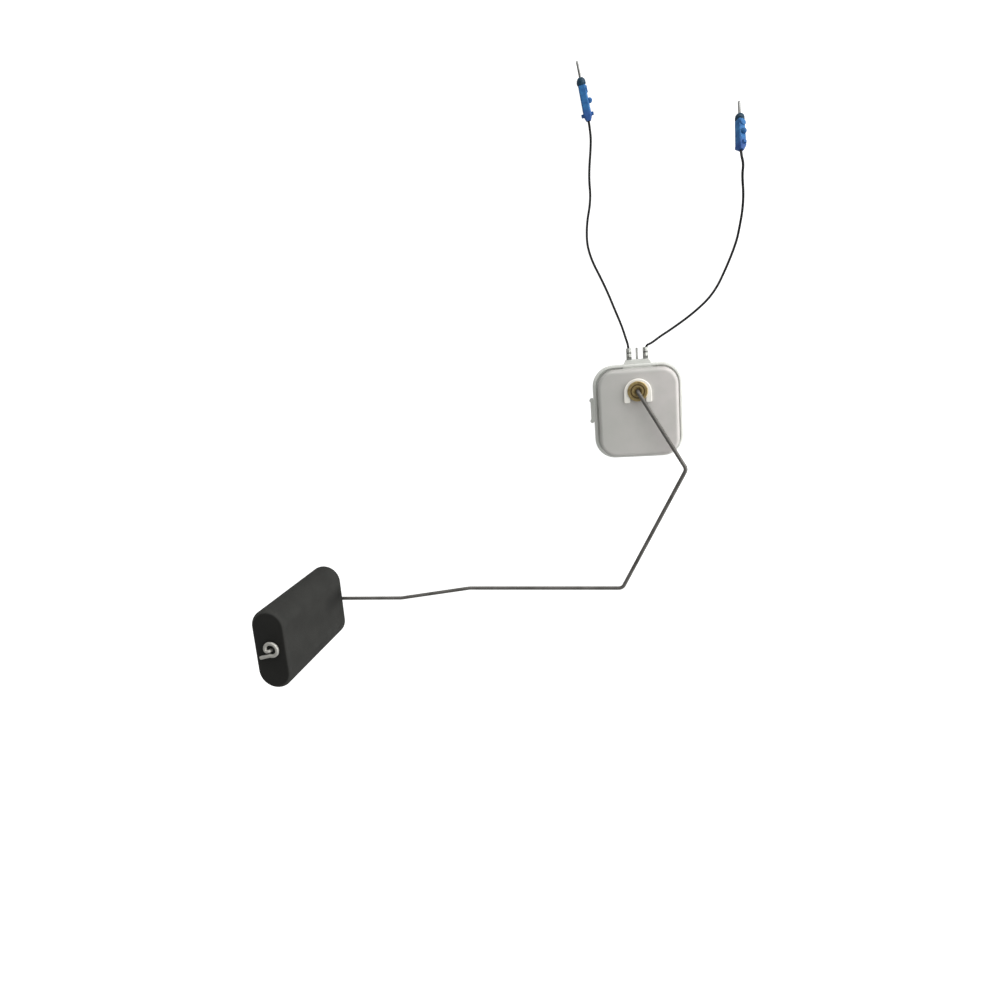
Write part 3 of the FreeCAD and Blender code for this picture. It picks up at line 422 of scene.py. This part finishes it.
def groove_group():
    """Tarnish in a round groove about the pivot axis."""
    group, entry, leave = start_group(
        "Groove tarnish", [("Radius", "value"), ("Half Width", "value")], [("Mask", "value")])
    off = sum_up(group, "SUBTRACT", pivot_distance(group), entry.outputs["Radius"])
    far = sum_up(group, "ABSOLUTE", off)
    share = sum_up(group, "DIVIDE", far, entry.outputs["Half Width"])
    group.links.new(spread(group, share, 1.0, 0.0, start=0.6, end=1.3), leave.inputs["Mask"])
    return group


GROUPS = {}


def effect(name):
    """A shader group, built the first time that it is asked for."""
    makers = {"moulded": moulded_group, "metal": metal_group, "turned": turned_group,
              "foam": foam_group, "groove": groove_group}
    if name not in GROUPS:
        GROUPS[name] = makers[name]()
    return GROUPS[name]


def place_effect(tree, name, **values):
    return add_node(tree, "ShaderNodeGroup", {"node_tree": effect(name)}, **values)


def add_bump(tree, shader, height, depth):
    bump = add_node(tree, "ShaderNodeBump", Height=height, Distance=depth, Strength=1.0)
    tree.links.new(bump.outputs["Normal"], shader.inputs["Normal"])


def dress(tree, shader, surface, depth):
    """Links an effect's colour, roughness and height to the shader."""
    tree.links.new(surface.outputs["Colour"], shader.inputs["Base Color"])
    tree.links.new(surface.outputs["Roughness"], shader.inputs["Roughness"])
    add_bump(tree, shader, surface.outputs["Height"], depth)


def lay_over(tree, shader, amount, tone):
    """Lays a tone over the shader's colour by an amount from 0 to 1."""
    under = shader.inputs["Base Color"].links[0].from_socket
    mixed = blend_colours(tree, amount, under, rgba(tone))
    tree.links.new(mixed, shader.inputs["Base Color"])


def moulded_material(name, tone, shade, mottle, grain, smoothest, roughest, depth):
    material, tree, shader = start_material(name)
    surface = place_effect(tree, "moulded", Colour=rgba(tone), Shade=rgba(shade),
                           Mottle_Size=mottle, Grain_Size=grain, Smoothest=smoothest,
                           Roughest=roughest)
    dress(tree, shader, surface, depth)
    return material, tree, shader


def metal_material(name, tone, stain, stain_size, mark_size, smoothest, roughest, depth, bare=1.0):
    """A metal finish. Its bare share is below 1 where a dull film lies on the metal."""
    material, tree, shader = start_material(name)
    surface = place_effect(tree, "metal", Colour=rgba(tone), Stain=rgba(stain),
                           Stain_Size=stain_size, Mark_Size=mark_size, Smoothest=smoothest,
                           Roughest=roughest)
    shader.inputs["Metallic"].default_value = bare
    dress(tree, shader, surface, depth)
    return material, tree, shader


def finish_nodes(material, *names):
    """Gives CAD nodes their finish on the objects' own slots."""
    for name in names:
        node = NODES[name]
        if not node.material_slots:
            node.data.materials.append(material)
        for slot in node.material_slots:
            slot.link = "OBJECT"
            slot.material = material


def add_object(name, data, material=None):
    made = bpy.data.objects.new(name, data)
    bpy.context.scene.collection.objects.link(made)
    if material:
        data.materials.append(material)
    return made


def settings():
    return bpy.context.scene.sender


class SENDER_OT_stage(bpy.types.Operator):
    """Builds the floor, the lights and the camera"""
    bl_idname = "sender.stage"
    bl_label = "Stage"

    def execute(self, context):
        stage = settings().stage
        context.scene.view_settings.view_transform = "Standard"
        self.floor(stage)
        self.sky(context.scene, stage)
        self.key_lamp(stage)
        context.scene.camera = self.camera(stage)
        return {"FINISHED"}

    def floor(self, stage):
        half = stage.floor_half_side
        mesh = bpy.data.meshes.new("floor")
        corners = [(-half, -half, 0), (half, -half, 0), (half, half, 0), (-half, half, 0)]
        mesh.from_pydata(corners, [], [(0, 1, 2, 3)])
        material, tree, shader = start_material("floor_sheet")
        shader.inputs["Base Color"].default_value = rgba(stage.floor_colour)
        shader.inputs["Roughness"].default_value = 0.9
        shader.inputs["Specular IOR Level"].default_value = 0.1
        shader.inputs["Emission Color"].default_value = WHITE
        glow = whole_spread(tree, camera_ray(tree), stage.floor_light, stage.floor_glow)
        tree.links.new(glow, shader.inputs["Emission Strength"])
        made = add_object("floor", mesh, material)
        made.location.z = -FLOOR_GAP
        return made

    def sky(self, scene, stage):
        """Bright at the sides, above all on the key lamp's. The camera itself sees white."""
        world = bpy.data.worlds.new("studio_sky")
        world.use_nodes = True
        tree = world.node_tree
        way = tree.nodes.new("ShaderNodeTexCoord").outputs["Generated"]
        toward = Vector(stage.key_place).normalized()
        facing = vector_sum(tree, "DOT_PRODUCT", way, toward, "Value")
        height = whole_spread(tree, part_of(tree, way, "Z"), 0.0, 1.0)
        fade = whole_spread(tree, height, stage.horizon_strength, stage.zenith_strength)
        side = whole_spread(tree, facing, stage.far_side, stage.near_side)
        tint = blend_colours(tree, height, rgba(stage.horizon_colour), rgba(stage.zenith_colour))
        background = tree.nodes["Background"]
        tree.links.new(tint, background.inputs["Color"])
        tree.links.new(sum_up(tree, "MULTIPLY", fade, side), background.inputs["Strength"])
        plain = add_node(tree, "ShaderNodeBackground", _0=WHITE, _1=stage.floor_glow)
        shown = add_node(tree, "ShaderNodeMixShader", _0=camera_ray(tree), _1=background.outputs[0],
                         _2=plain.outputs[0])
        tree.links.new(shown.outputs[0], tree.nodes["World Output"].inputs["Surface"])
        scene.world = world

    def key_lamp(self, stage):
        light = bpy.data.lights.new("key_lamp", "AREA")
        light.shape = "RECTANGLE"
        light.size = stage.key_width
        light.size_y = stage.key_height
        light.energy = stage.key_power
        lamp = add_object("key_lamp", light)
        lamp.location = stage.key_place
        lamp.rotation_mode = "QUATERNION"
        lamp.rotation_quaternion = (-Vector(stage.key_place)).to_track_quat("-Z", "Y")

    def camera(self, stage):
        """The camera looks down, so that the ground under it lies at the nadir pixel."""
        down = Vector(((NADIR_PIXEL[0] - PICTURE_CENTRE) / FOCAL_PIXELS,
                       (PICTURE_CENTRE - NADIR_PIXEL[1]) / FOCAL_PIXELS, -1)).normalized()
        up = -down
        right = (Vector((1, 0, 0)) - up * up.x).normalized()
        ahead = up.cross(right)
        rolled_right = right * math.cos(VIEW_ROLL) + ahead * math.sin(VIEW_ROLL)
        rolled_ahead = ahead * math.cos(VIEW_ROLL) - right * math.sin(VIEW_ROLL)
        data = bpy.data.cameras.new("camera")
        data.sensor_width = SENSOR_WIDTH
        data.lens = SENSOR_WIDTH * FOCAL_PIXELS / PICTURE_SIDE
        data.clip_start = 0.01
        made = add_object("camera", data)
        turn = Matrix((rolled_right, rolled_ahead, up)).to_4x4()
        made.matrix_world = Matrix.Translation(stage.camera_place) @ turn
        return made


class SENDER_OT_leads(bpy.types.Operator):
    """Lays the two leads from their crimps to their connectors"""
    bl_idname = "sender.leads"
    bl_label = "Leads"

    def execute(self, context):
        lead = settings().lead
        material = self.insulation(lead)
        for side, route, run in (("left", LEAD_LEFT_ROUTE, LEAD_LEFT_LENGTH),
                                 ("right", LEAD_RIGHT_ROUTE, LEAD_RIGHT_LENGTH)):
            wire = self.lay("lead_wire_" + side, route, lead, material, "lead_" + side)
        return {"FINISHED"}

    def insulation(self, lead):
        material, _, shader = moulded_material(
            "lead_insulation", lead.insulation, scaled(lead.insulation, 0.6), mottle=0.004,
            grain=0.0001, smoothest=0.45, roughest=0.55, depth=0.000004)
        shader.inputs["Specular IOR Level"].default_value = 0.2
        return material

    def lay(self, name, route, lead, material, node):
        curve = bpy.data.curves.new(name, "CURVE")
        curve.dimensions = "3D"
        curve.resolution_u = 10
        curve.bevel_depth = lead.diameter / 2
        curve.bevel_resolution = lead.sides
        curve.use_fill_caps = True
        spline = curve.splines.new("NURBS")
        spline.points.add(len(route) - 1)
        for point, place in zip(spline.points, route):
            point.co = (*place, 1.0)
        spline.order_u = 3
        spline.use_endpoint_u = True
        made = add_object(name, curve, material)
        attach(made, "housing")
        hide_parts(node)
        return made

    def fittings(self, side):
        return [NODES[part + side] for part in FITTINGS]


class SENDER_OT_housing(bpy.types.Operator):
    """Finishes the moulded base, the cover and the snap clip"""
    bl_idname = "sender.housing"
    bl_label = "Housing"

    def execute(self, context):
        plastic = settings().plastic
        base, _, _ = moulded_material(
            "base_plastic", plastic.base, plastic.base_shade, mottle=plastic.mottle,
            grain=plastic.grain, smoothest=0.42, roughest=0.58, depth=0.00002)
        cover, tree, shader = moulded_material(
            "cover_plastic", plastic.cover, plastic.cover_shade, mottle=plastic.mottle,
            grain=plastic.grain, smoothest=0.45, roughest=0.6, depth=0.00002)
        self.paint_side_shade(tree, shader, plastic)
        clip, _, _ = moulded_material(
            "clip_plastic", plastic.clip, scaled(plastic.clip, 0.92), mottle=0.003,
            grain=plastic.grain, smoothest=0.3, roughest=0.4, depth=0.00001)
        finish_nodes(base, "housing_base")
        finish_nodes(cover, "housing_cover", "rotor")
        finish_nodes(clip, "bush_clip", "thrust_washer")
        return {"FINISHED"}

    def paint_side_shade(self, tree, shader, plastic):
        """Painted shade: the cover darkens from its right side towards its left, standing in for
        light that falls off across it.
        """
        across = part_of(tree, object_place(tree), "X")
        amount = spread(tree, across, SIDE_SHADE_SHARE, 0.0, *SIDE_SHADE_REACH)
        lay_over(tree, shader, amount, plastic.cover_painted_shade)


class SENDER_OT_works(bpy.types.Operator):
    """Finishes the card, its tracks and the wiper inside the housing"""
    bl_idname = "sender.works"
    bl_label = "Works"

    def execute(self, context):
        metal = settings().metal
        works = settings().works
        card, _, _ = moulded_material(
            "card_ceramic", works.card, works.card_shade, mottle=0.004, grain=0.00012,
            smoothest=0.4, roughest=0.55, depth=0.00001)
        film, _, _ = moulded_material(
            "resistor_film", works.film, works.film_shade, mottle=0.002, grain=0.0001,
            smoothest=0.5, roughest=0.65, depth=0.000008)
        silver, _, _ = metal_material(
            "collector_film", works.silver, works.silver_dark, stain_size=0.002,
            mark_size=0.0001, smoothest=0.35, roughest=0.5, depth=0.000006)
        spring, _, _ = metal_material(
            "wiper_strip", metal.brass, metal.brass_dark, stain_size=0.004, mark_size=0.00015,
            smoothest=0.25, roughest=0.4, depth=0.000006)
        finish_nodes(card, "resistor_card")
        finish_nodes(film, "resistor_track")
        finish_nodes(silver, "collector_track", "contact_stud_inner", "contact_stud_outer")
        finish_nodes(spring, "wiper_spring")
        return {"FINISHED"}


class SENDER_OT_bush(bpy.types.Operator):
    """Finishes the turned pivot bush"""
    bl_idname = "sender.bush"
    bl_label = "Pivot bush"

    def execute(self, context):
        metal = settings().metal
        material, tree, shader = metal_material(
            "turned_brass", metal.brass, metal.brass_dark, stain_size=0.0015, mark_size=0.0002,
            smoothest=0.3, roughest=0.45, depth=0.000008, bare=0.6)
        rings = place_effect(tree, "turned", Ring_Size=RING_SIZE)
        groove = place_effect(tree, "groove", Radius=GROOVE_RADIUS, Half_Width=GROOVE_HALF_WIDTH)
        lay_over(tree, shader, rings.outputs["Mask"], scaled(metal.brass, 0.7))
        lay_over(tree, shader, groove.outputs["Mask"], metal.brass_dark)
        add_bump(tree, shader, rings.outputs["Height"], RING_DEPTH)
        finish_nodes(material, "pivot_bush")
        return {"FINISHED"}


class SENDER_OT_arm(bpy.types.Operator):
    """Finishes the bent arm wire"""
    bl_idname = "sender.arm"
    bl_label = "Arm wire"

    def execute(self, context):
        metal = settings().metal
        material, tree, shader = metal_material(
            "drawn_steel", metal.steel, metal.steel_dark, stain_size=0.006, mark_size=0.00025,
            smoothest=0.38, roughest=0.5, depth=0.000012, bare=0.6)
        # Painted highlight: brighter steel laid over the curl at the arm's end
        height = part_of(tree, object_place(tree), "Z")
        curl_highlight = spread(tree, height, 0.0, 1.0, start=0.5 * CURL_HEIGHT, end=0.95 * CURL_HEIGHT)
        lay_over(tree, shader, curl_highlight, metal.steel_curl_highlight)
        shader.inputs["Specular Tint"].default_value = (0.1, 0.1, 0.1, 1.0)
        shader.inputs["Specular IOR Level"].default_value = 0.15
        finish_nodes(material, "float_arm")
        return {"FINISHED"}


class SENDER_OT_terminals(bpy.types.Operator):
    """Finishes the terminals with their crimps"""
    bl_idname = "sender.terminals"
    bl_label = "Terminals"

    def execute(self, context):
        metal = settings().metal
        crimped, _, _ = metal_material(
            "tinned_sheet", metal.tin, scaled(metal.tin, 0.6), stain_size=0.0012,
            mark_size=0.00015, smoothest=0.4, roughest=0.52, depth=0.000008, bare=0.7)
        blade, _, _ = metal_material(
            "bright_sheet", metal.tin_bright, metal.tin, stain_size=0.003,
            mark_size=0.00015, smoothest=0.3, roughest=0.42, depth=0.000006, bare=0.6)
        finish_nodes(crimped, "terminal_left", "terminal_right")
        finish_nodes(blade, "terminal_middle")
        return {"FINISHED"}


class SENDER_OT_connectors(bpy.types.Operator):
    """Finishes the connector bodies, collars and pins"""
    bl_idname = "sender.connectors"
    bl_label = "Connectors"

    def execute(self, context):
        tones = settings().connector
        metal = settings().metal
        body, tree, shader = moulded_material(
            "connector_blue", tones.body, tones.body_shade, mottle=0.0022, grain=0.00012,
            smoothest=0.4, roughest=0.55, depth=0.000008)
        shader.inputs["Specular IOR Level"].default_value = 0.25
        self.tail_tone_and_shade(tree, shader, tones)
        collar, _, shader = moulded_material(
            "collar_navy", tones.collar, scaled(tones.collar, 1.6), mottle=0.002, grain=0.0001,
            smoothest=0.4, roughest=0.5, depth=0.000006)
        shader.inputs["Specular IOR Level"].default_value = 0.3
        pin, _, _ = metal_material(
            "pin_plating", metal.plating, metal.steel_dark, stain_size=0.003, mark_size=0.0001,
            smoothest=0.25, roughest=0.4, depth=0.000004)
        for part, material in zip(FITTINGS, (body, collar, pin)):
            finish_nodes(material, part + "left", part + "right")
        return {"FINISHED"}

    def tail_tone_and_shade(self, tree, shader, tones):
        """The bodies are deeper in tone round the lead: partly their own tone, partly painted shade
        where the lead goes in.
        """
        place = object_place(tree)
        left = vector_sum(tree, "DISTANCE", place, LEAD_LEFT_ROUTE[-1], "Value")
        right = vector_sum(tree, "DISTANCE", place, LEAD_RIGHT_ROUTE[-1], "Value")
        nearest = sum_up(tree, "MINIMUM", left, right)
        amount = spread(tree, nearest, TAIL_TONE_AND_SHADE_SHARE, 0.0, *TAIL_TONE_AND_SHADE_REACH)
        lay_over(tree, shader, amount, tones.tail)


class SENDER_OT_float(bpy.types.Operator):
    """Finishes the foam float"""
    bl_idname = "sender.foam_float"
    bl_label = "Foam float"

    def execute(self, context):
        foam = settings().foam
        material, tree, shader = start_material("float_foam")
        surface = place_effect(tree, "foam", Side=rgba(foam.side), Face=rgba(foam.face),
                               Cell_Size=foam.cell)
        tree.links.new(surface.outputs["Colour"], shader.inputs["Base Color"])
        shader.inputs["Roughness"].default_value = 0.75
        shader.inputs["Specular IOR Level"].default_value = 0.25
        add_bump(tree, shader, surface.outputs["Height"], foam.cell_depth)
        finish_nodes(material, "float")
        return {"FINISHED"}


PIECES = (SENDER_OT_stage, SENDER_OT_leads, SENDER_OT_housing, SENDER_OT_works, SENDER_OT_bush,
          SENDER_OT_arm, SENDER_OT_terminals, SENDER_OT_connectors, SENDER_OT_float)


class SENDER_PT_panel(bpy.types.Panel):
    """Lists the pieces of the sender with their sizes and colours"""
    bl_label = "Fuel level sender"
    bl_idname = "SENDER_PT_panel"
    bl_space_type = "VIEW_3D"
    bl_region_type = "UI"
    bl_category = "Sender"

    def draw(self, context):
        layout = self.layout
        for operator in PIECES:
            layout.operator(operator.bl_idname)
        for name in ("stage", "plastic", "metal", "works", "foam", "lead", "connector"):
            group = getattr(context.scene.sender, name)
            box = layout.box()
            box.label(text=name.capitalize())
            for key in group.__annotations__:
                box.prop(group, key)


CLASSES = (StageSettings, PlasticSettings, MetalSettings, WorksSettings, FoamSettings,
           LeadSettings, ConnectorSettings, SENDER_Settings, *PIECES, SENDER_PT_panel)


def register():
    for cls in CLASSES:
        bpy.utils.register_class(cls)
    bpy.types.Scene.sender = PointerProperty(type=SENDER_Settings)


def unregister():
    del bpy.types.Scene.sender
    for cls in reversed(CLASSES):
        bpy.utils.unregister_class(cls)


def main():
    register()
    bpy.ops.sender.stage()
    bpy.ops.sender.leads()
    bpy.ops.sender.housing()
    bpy.ops.sender.works()
    bpy.ops.sender.bush()
    bpy.ops.sender.arm()
    bpy.ops.sender.terminals()
    bpy.ops.sender.connectors()
    bpy.ops.sender.foam_float()


if __name__ == "__main__":
    main()
